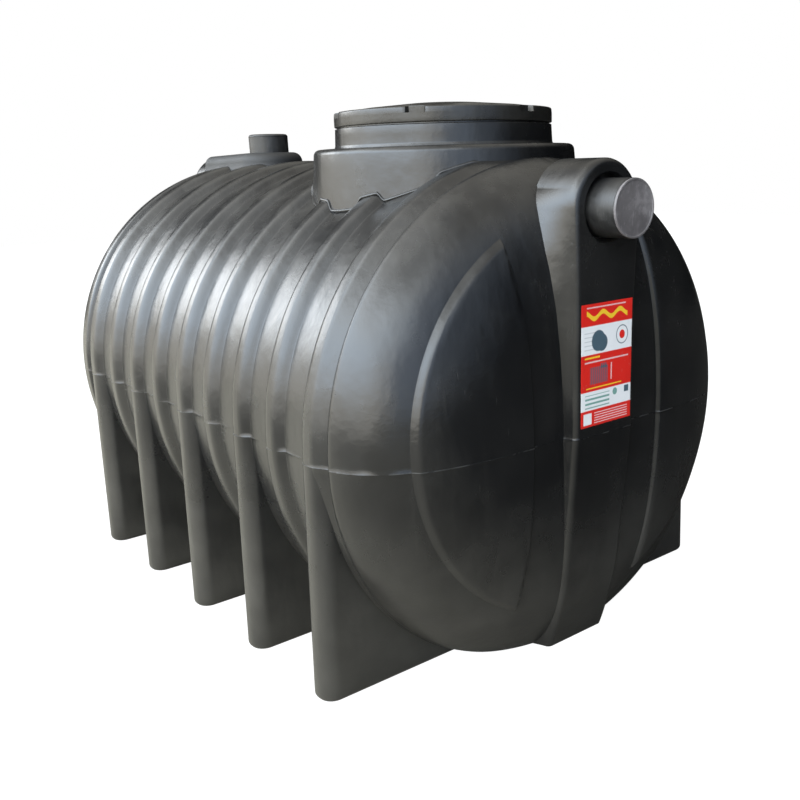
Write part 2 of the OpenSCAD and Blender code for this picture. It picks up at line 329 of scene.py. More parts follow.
class MeshMaker:
    """Makes finished pieces from bmesh shapes."""

    @staticmethod
    def grid(across: Sequence[float], along: Sequence[float], place: Place) -> Shape:
        """Lays a sheet of quads over a surface.

        Args:
            across: Values of the first surface coordinate.
            along: Values of the second surface coordinate.
            place: Gives the point for a pair of coordinates.

        Returns:
            The sheet, with doubles merged.
        """
        bm = bmesh.new()
        columns, rows = len(across) - 1, len(along) - 1
        bmesh.ops.create_grid(bm, x_segments=columns, y_segments=rows, size=1.0)
        for vert in bm.verts:
            i = round((vert.co.x + 1) / 2 * columns)
            j = round((vert.co.y + 1) / 2 * rows)
            vert.co = place(across[i], along[j])
        bmesh.ops.remove_doubles(bm, verts=bm.verts, dist=MERGE)
        return bm

    @staticmethod
    def turned(path: Iterable[Point], centre: Vector, axis: Vector, steps: int) -> Shape:
        """Spins a profile into a surface of revolution.

        Args:
            path: Points (height along the axis, radius).
            centre: A point on the axis, where the height is 0.
            axis: Direction of the axis.
            steps: Number of segments in the full turn.

        Returns:
            The turned surface.
        """
        bm = bmesh.new()
        side = axis.orthogonal().normalized()
        verts = [bm.verts.new(centre + axis * h + side * r) for h, r in path]
        edges = [bm.edges.new(pair) for pair in zip(verts, verts[1:])]
        bmesh.ops.spin(
            bm, geom=verts + edges, cent=centre, axis=axis, angle=2 * math.pi,
            steps=steps, use_merge=True, use_duplicate=False,
        )
        bmesh.ops.remove_doubles(bm, verts=bm.verts, dist=MERGE)
        bmesh.ops.recalc_face_normals(bm, faces=bm.faces)
        return bm

    @classmethod
    def lathed(cls, raw: Sequence[Point], radii: Sequence[float], centre: Vector, axis: Vector,
               steps: int, longest: float, arc: int = 5) -> Shape:
        """Rounds a profile's corners, turns it and faces it outwards.

        Args:
            raw: Corners (height along the axis, radius) of the profile.
            radii: One radius for each inner corner.
            centre: A point on the axis, where the height is 0.
            axis: Direction of the axis.
            steps: Number of segments in the full turn.
            longest: The longest step along the profile.
            arc: Intervals in each rounded corner.

        Returns:
            The turned surface.
        """
        bm = cls.turned(fill_long_steps(rounded_path(raw, radii, arc), longest), centre, axis, steps)
        cls.face_out(bm, centre + axis * raw[0][0])
        return bm

    @staticmethod
    def cut(bm: Shape, level: float, way: int, close: bool = False) -> None:
        """Cuts off what lies beyond a level.

        Args:
            bm: The mesh to cut.
            level: Height of the cut.
            way: 1 cuts off what is above, -1 what is below.
            close: Whether the cut is filled.
        """
        found = bmesh.ops.bisect_plane(
            bm, geom=[*bm.verts, *bm.edges, *bm.faces], dist=MERGE, plane_co=UP * level, plane_no=UP * way,
            clear_outer=True,
        )
        if close:
            rim = [e for e in found["geom_cut"] if isinstance(e, Edge)]
            bmesh.ops.holes_fill(bm, edges=rim)

    @staticmethod
    def open_at(bm: Shape, x: float) -> None:
        """Removes the flat faces that close a shape at a place along the tank."""
        flat = [f for f in bm.faces if all(abs(v.co.x - x) < ON_PLANE for v in f.verts)]
        bmesh.ops.delete(bm, geom=flat, context="FACES")

    @staticmethod
    def face_out(bm: Shape, probe: Vector) -> None:
        """Turns all faces so that the surface looks outwards.

        Args:
            bm: The mesh.
            probe: A point inside it.
        """
        bmesh.ops.recalc_face_normals(bm, faces=bm.faces)
        score = sum((f.calc_center_median() - probe).dot(f.normal) * f.calc_area() for f in bm.faces)
        if score < 0:
            bmesh.ops.reverse_faces(bm, faces=bm.faces)

    @staticmethod
    def piece(bm: Shape, name: str, nodes: Sequence[str], slot: str,
              finish: Material, sharp: float = 50.0) -> None:
        """Makes a finished object that rides on the tank and stands for CAD nodes.

        Args:
            bm: The shape; it is freed here.
            name: Name of the piece.
            nodes: CAD nodes it replaces.
            slot: Not used.
            finish: Its material.
            sharp: Edges that bend more than this many degrees stay sharp.
        """
        bm.normal_update()
        for face in bm.faces:
            face.smooth = True
        for edge in bm.edges:
            if len(edge.link_faces) == 2:
                edge.smooth = edge.calc_face_angle(0.0) < math.radians(sharp)
        mesh = bpy.data.meshes.new(name)
        bm.to_mesh(mesh)
        bm.free()
        mesh.materials.append(finish)
        obj = new_object(name, mesh)
        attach(obj, "root")
        if nodes:
            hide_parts(*nodes)
        LOG.info("%s: %d faces", name, len(mesh.polygons))


@dataclass(frozen=True)
class Flash:
    """The thin irregular ridge that the mould's parting line leaves."""

    level: float
    height: float = 0.0007
    half_w: float = 0.0009

    def raise_on(self, bm: Shape) -> None:
        """Raises the ridge on a surface.

        Args:
            bm: A surface that crosses the parting level, facing outwards.
        """
        for dz in (-self.half_w, 0.0, self.half_w):
            geom = [*bm.verts, *bm.edges, *bm.faces]
            bmesh.ops.bisect_plane(bm, geom=geom, dist=MERGE, plane_co=UP * (self.level + dz), plane_no=UP)
        bm.normal_update()
        for vert in bm.verts:
            if abs(vert.co.z - self.level) < ON_PLANE:
                rough = 0.5 + 0.9 * noise.noise(vert.co * 31) + 0.5 * noise.noise(vert.co * 9)
                vert.co += vert.normal * self.height * min(max(rough, 0.15), 1.0)

    def part(self, bm: Shape) -> tuple[Shape, Shape]:
        """Parts a surface at the parting level.

        Args:
            bm: The surface; it is freed here.

        Returns:
            What lies above the level and what lies below.
        """
        upper, lower = bm.copy(), bm.copy()
        MeshMaker.cut(upper, self.level, -1)
        MeshMaker.cut(lower, self.level, 1)
        bm.free()
        return upper, lower


# ---------------- shader tools


def _operator(operation: str, swap: bool = False) -> Callable[[Wire, Wire | float], Wire]:
    """Returns a method for one operator of a wire.

    Args:
        operation: The Math node's operation.
        swap: Whether the wire comes second.

    Returns:
        The method.
    """

    def method(wire: Wire, other: Wire | float) -> Wire:
        """Returns the result as a new wire."""
        return wire.graph.math(operation, *((other, wire) if swap else (wire, other)))

    return method


@dataclass(frozen=True)
class Wire:
    """A shader value. Arithmetic on it adds Math nodes."""

    graph: Graph
    socket: Socket

    __add__ = __radd__ = _operator("ADD")
    __sub__ = _operator("SUBTRACT")
    __rsub__ = _operator("SUBTRACT", swap=True)
    __mul__ = __rmul__ = _operator("MULTIPLY")
    __truediv__ = _operator("DIVIDE")

    def __abs__(self) -> Wire:
        """Returns the absolute value."""
        return self.graph.math("ABSOLUTE", self)

    def clamped(self) -> Wire:
        """Returns the value held between 0 and 1."""
        return self.graph.math("ADD", self, 0.0, clamp=True)

    def fraction(self) -> Wire:
        """Returns the part after the decimal point."""
        return self.graph.math("FRACT", self)

    def over(self, low: float, high: float) -> Wire:
        """Returns 0 up to low and 1 from high on, with an eased step between."""
        sockets = {"Value": self, "From Min": low, "From Max": high}
        return Wire(self.graph, self.graph.node("MapRange", sockets, interpolation_type="SMOOTHSTEP").outputs[0])

    def under(self, low: float, high: float) -> Wire:
        """Returns 1 up to low and 0 from high on, with an eased step between."""
        return 1 - self.over(low, high)

    def between(self, a: float, b: float, c: float, d: float) -> Wire:
        """Returns 1 from b to c and 0 outside a and d, with eased steps between."""
        return self.over(a, b) * self.under(c, d)


class Graph:
    """The node tree of one material or world."""

    def __init__(self, tree: bpy.types.NodeTree) -> None:
        """Starts with an empty tree."""
        self.tree = tree
        tree.nodes.clear()

    def node(self, kind: str, sockets: dict[str | int, object] | None = None,
             **settings: object) -> bpy.types.Node:
        """Adds a node.

        Args:
            kind: The node's type, after "ShaderNode".
            sockets: Values or links of its inputs, by name or number.
            settings: Its settings, by attribute.

        Returns:
            The new node.
        """
        made = self.tree.nodes.new(f"ShaderNode{kind}")
        for key, value in settings.items():
            setattr(made, key, value)
        for key, value in (sockets or {}).items():
            if isinstance(value, Wire):
                self.tree.links.new(value.socket, made.inputs[key])
            elif isinstance(value, Socket):
                self.tree.links.new(value, made.inputs[key])
            elif isinstance(value, tuple) and len(value) == 3 and made.inputs[key].type == "RGBA":
                made.inputs[key].default_value = (*value, 1.0)
            else:
                made.inputs[key].default_value = value
        return made

    def math(self, operation: str, *values: Wire | float, clamp: bool = False) -> Wire:
        """Adds one Math node and returns its result."""
        made = self.node("Math", dict(enumerate(values)), operation=operation, use_clamp=clamp)
        return Wire(self, made.outputs[0])

    def place(self) -> Socket:
        """Returns the object coordinates."""
        return self.node("TexCoord").outputs["Object"]

    def stretched(self, scale: Sequence[float], turn: Sequence[float] = (0, 0, 0)) -> Socket:
        """Returns the object coordinates scaled, and turned by angles in radians."""
        made = self.node("Mapping", {"Vector": self.place(), "Scale": scale, "Rotation": turn})
        return made.outputs[0]

    def parts(self, at: Socket | None = None) -> tuple[Wire, Wire, Wire]:
        """Returns x, y and z of a vector, or of the object coordinates."""
        made = self.node("SeparateXYZ", {0: at or self.place()})
        return tuple(Wire(self, socket) for socket in made.outputs)

    def clouds(self, scale: float, detail: float = 3.0, rough: float = 0.55,
               at: Socket | None = None, bend: float = 0.0) -> Wire:
        """Adds a noise pattern.

        Args:
            scale: Features per metre.
            detail: Octaves.
            rough: Strength of the finer octaves.
            at: Coordinates, when not the plain object coordinates.
            bend: Distortion of the pattern.

        Returns:
            Its value, around 0.5.
        """
        sockets = {"Vector": at or self.place(), "Scale": scale, "Detail": detail, "Roughness": rough,
                   "Distortion": bend}
        return Wire(self, self.node("TexNoise", sockets).outputs[0])

    def streaks(self, scale: Sequence[float], turn: Sequence[float], low: float, high: float) -> Wire:
        """Returns 1 on thin straight dashes, as scratches, and 0 between them.

        Args:
            scale: Dashes per metre along each axis; the smallest gives their direction.
            turn: Angles in radians that turn the dashes.
            low: Noise value below which there's no dash.
            high: Noise value above which a dash is full.
        """
        return self.clouds(1.0, 2, 0.4, self.stretched(scale, turn)).over(low, high)

    def seen(self) -> Socket:
        """Returns 1 where the camera looks straight at the surface, and 0 for its reflections and light."""
        return self.node("LightPath").outputs["Is Camera Ray"]

    def blend(self, share: Wire | Socket, a: Colour | Socket,
              b: Colour | Socket) -> Socket:
        """Returns colour a turned into colour b by share."""
        return self.node("Mix", {"Factor": share, 6: a, 7: b}, data_type="RGBA").outputs[2]

    def layered(self, base: Colour, *layers: tuple[Wire, Colour]) -> Socket:
        """Lays colours over a base colour in turn.

        Args:
            base: The colour below.
            layers: Share and colour of each layer.

        Returns:
            The colour that shows.
        """
        for share, tone in layers:
            base = self.blend(share.clamped(), base, tone)
        return base

    def plastic(self, colour: Socket, rough: Wire, height: Wire, depth: float, ior: float) -> None:
        """Makes a plastic surface.

        Args:
            colour: Its colour.
            rough: Its roughness.
            height: Its fine relief, in shares of depth.
            depth: Depth of the relief in metres.
            ior: Its index of refraction.
        """
        bump = self.node("Bump", {"Height": height, "Distance": depth})
        shader = self.node(
            "BsdfPrincipled",
            {"Base Color": colour, "Roughness": rough.clamped(), "Normal": bump.outputs[0], "IOR": ior},
        )
        self.node("OutputMaterial", {"Surface": shader.outputs[0]})


# ---------------- finishes


@dataclass(frozen=True)
class Finish:
    """A finish that makes its material."""

    name: str

    def make(self) -> Material:
        """Makes the finish.

        Returns:
            Its material.
        """
        material = bpy.data.materials.new(self.name)
        material.use_nodes = True
        self.paint(Graph(material.node_tree))
        return material

    def paint(self, g: Graph) -> None:
        """Adds the finish's nodes to an empty tree."""
        raise NotImplementedError


@dataclass(frozen=True)
class Polyethylene(Finish):
    """Black rotationally moulded plastic with a satin skin, scuffs, a dusting, and a painted warm reflection of the
    floor on its lower parts.
    """

    flash_level: float
    tone: Colour = (0.0045, 0.0047, 0.0052)
    pale: Colour = (0.0095, 0.0096, 0.0100)
    # Warm grey of the dusting; the same colour paints the floor's reflection on the lower parts.
    dust_and_floor_glow: Colour = (0.060, 0.056, 0.048)
    scuff: Colour = (0.10, 0.10, 0.095)
    gloss: float = 0.24
    # Share of the dusting and the painted floor reflection that is laid on; the boss's low share paints shade.
    dust_and_glow_share: float = 1.0
    relief: float = 0.0011
    ior: float = 1.52

    def paint(self, g: Graph) -> None:
        """Adds a dusting, runs, scratches, rubs and the worn flash on a satin skin, and paints a warm floor
        reflection low down.

        Args:
            g: The material's empty node tree.
        """
        z = g.parts()[2]
        up = g.parts(g.node("NewGeometry").outputs["Normal"])[2]
        broad = g.clouds(3.1, 4)
        patch = g.clouds(13, 4, 0.6)
        grain = g.clouds(520, 2, 0.6)
        run = g.clouds(1.0, 5, 0.6, g.stretched((46, 46, 2.6)))
        weave = g.clouds(1.0, 3, 0.5, g.stretched((9, 9, 4)))
        dust_and_glow = (up.over(0.25, 1.0) * 0.32 + 0.09) * (patch * 0.7 + broad * 0.6).over(0.45, 0.95)
        # Below 0.12 m, fading out by 0.48 m, the pale layer thickens: painted warm reflection of the floor, laid
        # together with the dusting.
        dust_and_glow = dust_and_glow + run.over(0.56, 0.8) * 0.10 + z.under(0.12, 0.48) * (broad * 0.5 + patch * 0.3) * 0.9
        dust_and_glow = (dust_and_glow * self.dust_and_glow_share).clamped()
        marks = g.streaks((420, 380, 9), (0.5, 0.3, 0.2), 0.72, 0.79) * patch.over(0.5, 0.65)
        marks = marks + g.streaks((13, 460, 420), (0.2, -0.4, 0.5), 0.72, 0.80) * broad.over(0.45, 0.6)
        rubs = g.clouds(24, 6, 0.7, None, 1.2).over(0.66, 0.8) * broad.over(0.45, 0.7)
        marks = (marks * 0.5 + rubs * 0.35).clamped()
        line = abs(z - self.flash_level).under(0.0004, 0.0018) * g.clouds(24, 3).over(0.46, 0.62)
        colour = g.layered(
            self.tone, (broad.over(0.3, 0.75), self.pale), (dust_and_glow, self.dust_and_floor_glow), (marks * 0.32, self.scuff),
            (line * 0.25, self.scuff),
        )
        rough = self.gloss + patch * 0.12 + dust_and_glow * 0.25 + marks * 0.12 + line * 0.2 - 0.06
        height = grain * 0.10 + weave * 3.2 + patch * 1.2 - marks * 0.25
        g.plastic(colour, rough, height, self.relief, self.ior)


@dataclass(frozen=True)
class PipePlastic(Finish):
    """Dull grey pipe plastic with turned marks and scuffs."""

    tone: Colour
    pale: Colour
    gloss: float = 0.42
    rubbed: float = 0.4
    relief: float = 0.0006
    ior: float = 1.5

    def paint(self, g: Graph) -> None:
        """Adds turned marks, scratches and rubs on a grey skin.

        Args:
            g: The material's empty node tree.
        """
        broad = g.clouds(11, 4)
        patch = g.clouds(60, 5, 0.65)
        grain = g.clouds(700, 2, 0.6)
        turned = g.clouds(1.0, 3, 0.6, g.stretched((260, 14, 14)))
        marks = g.streaks((500, 420, 40), (0.7, 0.2, 0.5), 0.62, 0.7) * patch.over(0.4, 0.6)
        rubs = (patch * broad).over(0.2, 0.42) * self.rubbed
        bare = tuple(2.1 * c + 0.03 for c in self.pale)
        clean = (turned * 0.5 + broad * 0.5).over(0.35, 0.65)
        colour = g.layered(self.tone, (clean, self.pale), (marks * 0.35 + rubs * 0.5, bare))
        rough = self.gloss + patch * 0.16 + rubs * 0.1 - 0.08
        height = grain * 0.12 + turned * 0.25 + patch * 0.3 - marks * 0.2
        g.plastic(colour, rough, height, self.relief, self.ior)


@dataclass(frozen=True)
class LabelPrint(Finish):
    """A glossy printed label with plain bars and drops that belong to no maker."""

    low: Vector
    high: Vector
    red: Colour = (0.62, 0.018, 0.012)
    white: Colour = (0.72, 0.73, 0.74)
    yellow: Colour = (0.80, 0.50, 0.03)
    slate: Colour = (0.06, 0.10, 0.13)
    teal: Colour = (0.03, 0.22, 0.17)
    worn: Colour = (0.5, 0.42, 0.38)
    aspect: float = 0.65
    soft: float = 0.004
    relief: float = 0.0008
    ior: float = 1.45

    def paint(self, g: Graph) -> None:
        """Adds the printed bands, bars, rows and discs, slightly worn.

        Args:
            g: The material's empty node tree.
        """
        _, y, z = g.parts()
        u = (y - self.low.y) / (self.high.y - self.low.y)
        v = (z - self.low.z) / (self.high.z - self.low.z)

        def band(value: Wire, a: float, b: float) -> Wire:
            """Returns 1 where value lies between a and b."""
            return value.between(a - self.soft, a + self.soft, b - self.soft, b + self.soft)

        def box(u0: float, u1: float, v0: float, v1: float) -> Wire:
            """Returns 1 inside an upright box."""
            return band(u, u0, u1) * band(v, v0, v1)

        def disc(cu: float, cv: float, radius: float) -> Wire:
            """Returns 1 inside a circle given in shares of the label's width and height."""
            du, dv = (u - cu) * self.aspect, v - cv
            return (du * du + dv * dv).under(radius ** 2 * 0.9, radius ** 2 * 1.1)

        def rows(count: float, fill: float) -> Wire:
            """Returns 1 on evenly spaced thin rows."""
            return (v * count).fraction().under(fill, fill + 0.1)

        bars = (u * 26).fraction().under(0.4, 0.48)
        white = box(-1, 2, 0.596, 0.825) + box(-1, 2, 0.139, 0.293) + box(0.05, 0.21, 0.02, 0.115)
        flow = abs(v - 0.905 - g.math("SINE", u * 19.0) * 0.024)
        yellow = flow.under(0.016, 0.022) * band(u, 0.10, 0.90)
        yellow = yellow + box(0.07, 0.36, 0.562, 0.576) + box(0.10, 0.80, 0.315, 0.325)
        pale = box(0.10, 0.86, 0.965, 0.975) + box(0.07, 0.93, 0.528, 0.540)
        pale = pale + box(0.26, 0.93, 0.02, 0.115) * rows(48, 0.35) + box(0.58, 0.60, 0.36, 0.50)
        drop = disc(0.33, 0.70, 0.085) + disc(0.40, 0.68, 0.07)
        ring = disc(0.80, 0.715, 0.078) - disc(0.80, 0.715, 0.070)
        block = box(0.17, 0.52, 0.35, 0.49) + box(0.38, 0.50, 0.47, 0.51)
        dark = drop + ring + box(0.86, 0.95, 0.225, 0.28)
        dark = dark + block * (0.45 + bars * 0.4) + box(0.06, 0.28, 0.62, 0.78) * rows(30, 0.2) * 0.3
        green = box(0.08, 0.56, 0.155, 0.265) * rows(27, 0.4) + disc(0.67, 0.25, 0.03)
        red = disc(0.80, 0.715, 0.036) + box(0.14, 0.88, 0.34, 0.343)
        worn = g.clouds(90, 5, 0.7).over(0.62, 0.8)
        colour = g.layered(
            self.red, (white, self.white), (yellow, self.yellow), (pale.clamped() * 0.6, self.white),
            (green.clamped() * 0.8, self.teal), (dark, self.slate), (red, self.red), (worn * 0.25, self.worn),
        )
        g.plastic(colour, 0.32 + g.clouds(30, 3) * 0.12, g.clouds(22, 3), self.relief, self.ior)


@dataclass(frozen=True)
class Finishes:
    """All the finishes of the tank, made once."""

    shell: Material
    boss: Material
    lid: Material
    pipe: Material
    cap: Material

    @classmethod
    def make(cls, level: float) -> Finishes:
        """Makes the materials.

        Args:
            level: Height of the parting line.

        Returns:
            The finishes.
        """
        lid_tones = {"tone": (0.0065, 0.0063, 0.006), "pale": (0.014, 0.0135, 0.0125)}
        return cls(
            shell=Polyethylene("shell_black", level).make(),
            # The boss gets the shell finish with a third of its pale layer, which darkens it: painted shade on the
            # boss.
            boss=Polyethylene("boss_painted_shade", level, gloss=0.62, dust_and_glow_share=0.3).make(),
            lid=Polyethylene("lid_black", level, gloss=0.27, dust_and_glow_share=2.6, **lid_tones).make(),
            pipe=PipePlastic("pipe_grey", (0.007, 0.007, 0.0074), (0.017, 0.0165, 0.016)).make(),
            cap=PipePlastic("cap_grey", (0.082, 0.075, 0.077), (0.125, 0.116, 0.118), 0.46, 0.8).make(),
        )


# ---------------- barrel and legs


@dataclass
class SubAssembly:
    """A part of the tank, with the sizes and finishes that all parts share."""

    layout: Layout
    finishes: Finishes

    def shell(self, bm: Shape, node: str, sharp: float = 50.0) -> None:
        """Makes a piece of the black shell.

        Args:
            bm: Its shape; it is freed here.
            node: The CAD node that it stands for.
            sharp: Edges that bend more than this many degrees stay sharp.
        """
        MeshMaker.piece(bm, f"{node}_shell", [node], "shell", self.finishes.shell, sharp)

    def halves(self, bm: Shape, stem: str, on_node: bool = True) -> None:
        """Raises the flash on a shape and makes a shell piece of each half.

        Args:
            bm: A surface that crosses the parting level; it is freed here.
            stem: Start of the pieces' names, and of their nodes' names.
            on_node: Whether the halves stand for nodes.
        """
        flash = Flash(self.layout.axis_z)
        flash.raise_on(bm)
        for shape, half in zip(flash.part(bm), ("upper", "lower")):
            if on_node:
                self.shell(shape, f"{stem}_{half}")
            else:
                MeshMaker.piece(shape, f"{stem}_{half}", [], "shell", self.finishes.shell)

    def round_halves(self, outline: Sequence[Point], way: int, flat: Sequence[float], stem: str, turns: int) -> None:
        """Turns an outline round the barrel axis and makes its two halves, cut off at the ground.

        Args:
            outline: Points (x, radius); x is outwards along the tank.
            way: 1 towards the front, -1 towards the rear.
            flat: Values of x where the shape is left open.
            stem: Start of the pieces' names, and of their nodes' names.
            turns: Number of segments in the full turn.
        """
        level = self.layout.axis_z
        bm = MeshMaker.turned(outline, UP * level, Vector((way, 0, 0)), turns)
        MeshMaker.face_out(bm, Vector((way * outline[0][0], 0, level)))
        MeshMaker.cut(bm, 0.0, -1, close=True)
        for x in flat:
            MeshMaker.open_at(bm, way * x)
        self.halves(bm, stem)


@dataclass
class Barrel(SubAssembly):
    """The ribbed body between the two seams, in an upper and a lower half."""

    turns: int = 288

    def build(self) -> None:
        """Makes the two halves with the flash between them."""
        path = self.layout.barrel_path()
        first, last = path[0][0], path[-1][0]
        self.round_halves([(first, 0.0), *path, (last, 0.0)], 1, (first, last), "barrel", self.turns)


class Side(Enum):
    """The two sides of the tank."""

    RIGHT = 1
    LEFT = -1


@dataclass
class Leg(SubAssembly):
    """One moulded leg below a rib, with a round outer edge."""

    side: Side
    number: int
    end_r: float = 0.036
    sole_r: float = 0.012
    tuck: float = 0.002
    hollow: float = 0.0035
    tall: float = 0.2
    cuts: int = 14

    def build(self) -> None:
        """Makes the leg from a block with rounded edges that leans out to its foot."""
        name = f"{self.side.name.lower()}_leg_{self.number}"
        low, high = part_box(name)
        way = self.side.value
        outer = high.y if way > 0 else -low.y
        inner = min(abs(low.y), abs(high.y))
        middle = Vector(((low.x + high.x) / 2, way * (outer + inner) / 2, (low.z + high.z) / 2))
        size = Matrix.Diagonal((high.x - low.x, outer - inner, high.z - low.z, 1))
        bm = bmesh.new()
        bmesh.ops.create_cube(bm, size=1.0, matrix=Matrix.Translation(middle) @ size)

        def upright() -> list[Edge]:
            """Returns the edges that run up the leg."""
            return [e for e in bm.edges if abs(e.verts[0].co.z - e.verts[1].co.z) > self.tall]

        def bevel(edges: list[Edge], radius: float, segments: int) -> None:
            """Rounds edges of the block.

            Args:
                edges: The edges.
                radius: Their radius.
                segments: Faces in the rounding.
            """
            bmesh.ops.bevel(
                bm, geom=edges, offset=radius, offset_type="OFFSET", segments=segments, profile=0.5,
                affect="EDGES", material=-1,
            )

        bevel([e for e in upright() if all(abs(abs(v.co.y) - outer) < ON_PLANE for v in e.verts)], self.end_r, 10)
        sole = [e for e in bm.edges if all(v.co.z < low.z + ON_PLANE for v in e.verts)]
        bevel([e for e in sole if any(abs(v.co.y) > inner + ON_PLANE for v in e.verts)], self.sole_r, 5)
        bmesh.ops.subdivide_edges(bm, edges=upright(), cuts=self.cuts, use_grid_fill=True)
        rise = self.layout.axis_z
        lean = outer - self.layout.crown_r - self.tuck
        for vert in bm.verts:
            t = held((rise - vert.co.z) / rise)
            reach = (abs(vert.co.y) - inner) / (outer - inner)
            vert.co.y -= way * lean * (1 - t) * reach
            hollow = self.hollow * math.sin(math.pi * held(reach)) * smooth(t * 2)
            vert.co.x -= math.copysign(hollow, vert.co.x - middle.x)
        MeshMaker.face_out(bm, middle)
        self.shell(bm, name, 40)


# ---------------- ends


@dataclass
class End(SubAssembly):
    """A domed end in two halves, with two raised leaf panels.

    Each Pair holds a size of the left and of the right leaf.
    """

    dome: Dome
    turns: int = 240
    leaf_rise: float = 0.008
    leaf_sink: float = 0.0012
    leaf_r: float = 0.438
    leaf_centre: Point = (0.018, 0.024)
    leaf_inner_up: float = 0.012
    leaf_gap: Pair = (0.178, 0.200)
    leaf_bow: Pair = (0.217, -0.255)
    leaf_edge: float = 0.015
    leaf_inner_edge: Pair = (0.008, 0.013)
    inner_band: float = 0.013 / 0.28
    outer_band: float = 0.024 / 0.28

    def build(self) -> None:
        """Makes both halves and their leaf panels."""
        name, seam = self.dome.name, self.layout.seam_x
        outline = [(seam, 0.0), *self.dome.path()]
        self.round_halves(outline, self.dome.way, [seam], f"{name}_end", self.turns)
        for side in Side:
            self.halves(self.leaf(side), f"{name}_leaf_{side.name.lower()}", on_node=False)

    def leaf(self, side: Side) -> Shape:
        """Makes a leaf panel, a lens between two arcs that stands up from the dome.

        Args:
            side: The side it is on.

        Returns:
            The panel's surface.
        """
        at = self.layout
        centre = Vector(self.leaf_centre)
        pick = 1 if side is Side.RIGHT else 0
        gap, bow, inner_edge = self.leaf_gap[pick], self.leaf_bow[pick], self.leaf_inner_edge[pick]

        def inner_y(up: float) -> float:
            """Returns how far from the middle the leaf's inner edge lies at a height."""
            return gap + bow * (up - self.leaf_inner_up) ** 2

        low, high = self._tip(inner_y, -math.pi / 2), self._tip(inner_y, math.pi / 2)

        def place(u: float, v: float) -> Vector:
            """Places a point of the leaf.

            Args:
                u: Share of the way from the inner edge to the outer one.
                v: Share of the way from the lower tip to the upper one.

            Returns:
                The point.
            """
            a = mix(low, high, v)
            out = centre + self.leaf_r * Vector((math.cos(a), math.sin(a)))
            spot = Vector((inner_y(out.y), out.y)).lerp(out, u)
            outer = (self.leaf_r - (spot - centre).length) / self.leaf_edge
            edge = min(outer, (spot.x - inner_y(spot.y)) / inner_edge)
            grow = -self.leaf_sink + (self.leaf_rise + self.leaf_sink) * smooth(edge)
            along = self.dome.way * self.dome.x_at(math.hypot(spot.x, spot.y), grow)
            return Vector((along, side.value * spot.x, at.axis_z + spot.y))

        bm = MeshMaker.grid(self._dense(), eased_steps(120, 0.5), place)
        MeshMaker.face_out(bm, UP * at.axis_z)
        return bm

    def _tip(self, inner_y: Callable[[float], float], end: float) -> float:
        """Finds where the outer arc meets the inner edge.

        Args:
            inner_y: Gives the inner edge's distance from the middle at a height.
            end: Angle on the outer arc at which the search ends.

        Returns:
            The angle on the outer arc.
        """
        near, far = 0.0, end
        across, up = self.leaf_centre
        for _ in range(40):
            a = (near + far) / 2
            if across + self.leaf_r * math.cos(a) > inner_y(up + self.leaf_r * math.sin(a)):
                near = a
            else:
                far = a
        return near

    def _dense(self) -> list[float]:
        """Spaces the steps across a leaf, close together at its two edges.

        Returns:
            The steps, as shares of the leaf's width.
        """
        first = [self.inner_band * t for t in even_steps(6)]
        last = [1 - self.outer_band * t for t in reversed(even_steps(6))]
        return first + [mix(first[-1], last[0], t) for t in even_steps(14)[1:-1]] + last


